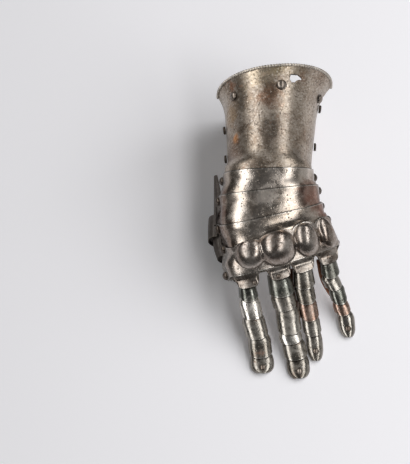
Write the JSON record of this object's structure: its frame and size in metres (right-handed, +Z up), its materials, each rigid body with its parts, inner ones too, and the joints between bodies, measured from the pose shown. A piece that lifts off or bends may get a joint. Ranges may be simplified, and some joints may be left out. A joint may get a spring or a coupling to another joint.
{
  "type": "armoured gauntlet",
  "caption": "Late medieval style plate gauntlet for the left hand: a flared two-piece cuff, hinged lames, a bossed knuckle plate, a thumb plate and scaled fingers.",
  "frame": {"origin": "middle of the footprint on the surface the gauntlet lies on", "axes": "+X towards the little finger side, +Y from the fingers towards the forearm, +Z up off the surface, with the back of the hand up"},
  "size_m": [0.1472, 0.3114, 0.1136],
  "materials": {
    "cuff_steel": "worn and tarnished with rust patches and pitting",
    "lame_steel": "worn polish with small dark pits",
    "knuckle_steel": "reddish brown patina over worn steel",
    "scale_steel": "dark greenish grey patina with bright worn edges",
    "rivet_steel": "rubbed bright on the domes",
    "strap_leather": "aged reddish brown"
  },
  "bodies": {
    "cuff": {"cuff_outer": "cuff_steel", "cuff_inner": "cuff_steel", "cuff_rivet_top": "rivet_steel", "cuff_rivet_thumb_side": "rivet_steel", "cuff_rivet_little_side": "rivet_steel", "cuff_side_rivet_1": "rivet_steel", "cuff_side_rivet_2": "rivet_steel", "cuff_side_rivet_3": "rivet_steel", "cuff_side_rivet_4": "rivet_steel"},
    "first_wrist_lame": {"wrist_lame_1": "lame_steel", "wrist_rivet_thumb_side": "rivet_steel", "wrist_rivet_little_side": "rivet_steel"},
    "second_wrist_lame": {"wrist_lame_2": "lame_steel", "thumb_hinge": "scale_steel", "back1_rivet_thumb_side": "rivet_steel", "back1_rivet_little_side": "rivet_steel"},
    "metacarpal": {"metacarpal_lame": "lame_steel", "back2_rivet_thumb_side": "rivet_steel", "back2_rivet_little_side": "rivet_steel"},
    "knuckles": {"knuckle_plate": "knuckle_steel", "knuckle_rivet_thumb_side": "rivet_steel", "knuckle_rivet_little_side": "rivet_steel", "root_rivet_thumb_side": "rivet_steel", "root_rivet_little_side": "rivet_steel"},
    "fingers": {"finger_root_lame": "scale_steel", "index_root_rivet": "rivet_steel", "middle_root_rivet": "rivet_steel", "index_scale_1": "scale_steel", "index_scale_2": "scale_steel", "index_scale_3": "scale_steel", "index_scale_4": "scale_steel", "index_tip_scale": "scale_steel", "index_strap": "strap_leather", "index_tip_rivet": "rivet_steel", "middle_scale_1": "scale_steel", "middle_scale_2": "scale_steel", "middle_scale_3": "scale_steel", "middle_scale_4": "scale_steel", "middle_scale_5": "scale_steel", "middle_tip_scale": "scale_steel", "middle_strap": "strap_leather", "middle_tip_rivet": "rivet_steel", "ring_scale_1": "scale_steel", "ring_scale_2": "scale_steel", "ring_scale_3": "scale_steel", "ring_scale_4": "scale_steel", "ring_tip_scale": "scale_steel", "ring_strap": "strap_leather", "ring_tip_rivet": "rivet_steel", "little_scale_1": "scale_steel", "little_scale_2": "scale_steel", "little_scale_3": "scale_steel", "little_scale_4": "scale_steel", "little_tip_scale": "scale_steel", "little_strap": "strap_leather", "little_tip_rivet": "rivet_steel"},
    "thumb": {"thumb_plate": "scale_steel", "thumb_scale_1": "scale_steel", "thumb_scale_2": "scale_steel", "thumb_tip_scale": "scale_steel"}
  },
  "joints": [
    {"name": "wrist_hinge", "type": "hinge", "parent": "cuff", "child": "first_wrist_lame", "pos_m": [-0.01298, 0.04593, 0.04985], "axis": [0.999, 0.0436, 0], "range_deg": [-2, 7]},
    {"name": "first_back_hinge", "type": "hinge", "parent": "first_wrist_lame", "child": "second_wrist_lame", "pos_m": [-0.01288, 0.02853, 0.04685], "axis": [0.9925, 0.1219, 0], "range_deg": [-2, 7]},
    {"name": "second_back_hinge", "type": "hinge", "parent": "second_wrist_lame", "child": "metacarpal", "pos_m": [-0.01168, 0.00633, 0.04185], "axis": [0.9681, 0.2504, 0], "range_deg": [-2, 7]},
    {"name": "knuckle_hinge", "type": "hinge", "parent": "metacarpal", "child": "knuckles", "pos_m": [-0.00568, -0.00957, 0.03585], "axis": [0.9511, 0.309, 0], "range_deg": [-2, 7]},
    {"name": "finger_root_hinge", "type": "hinge", "parent": "knuckles", "child": "fingers", "pos_m": [-0.00028, -0.03347, 0.02785], "axis": [0.9455, 0.3256, 0], "range_deg": [-2, 7]},
    {"name": "thumb_hinge_pin", "type": "hinge", "parent": "second_wrist_lame", "child": "thumb", "pos_m": [-0.06578, 0.01203, 0.02895], "axis": [0, 1, 0], "range_deg": [0, 40]}
  ]
}
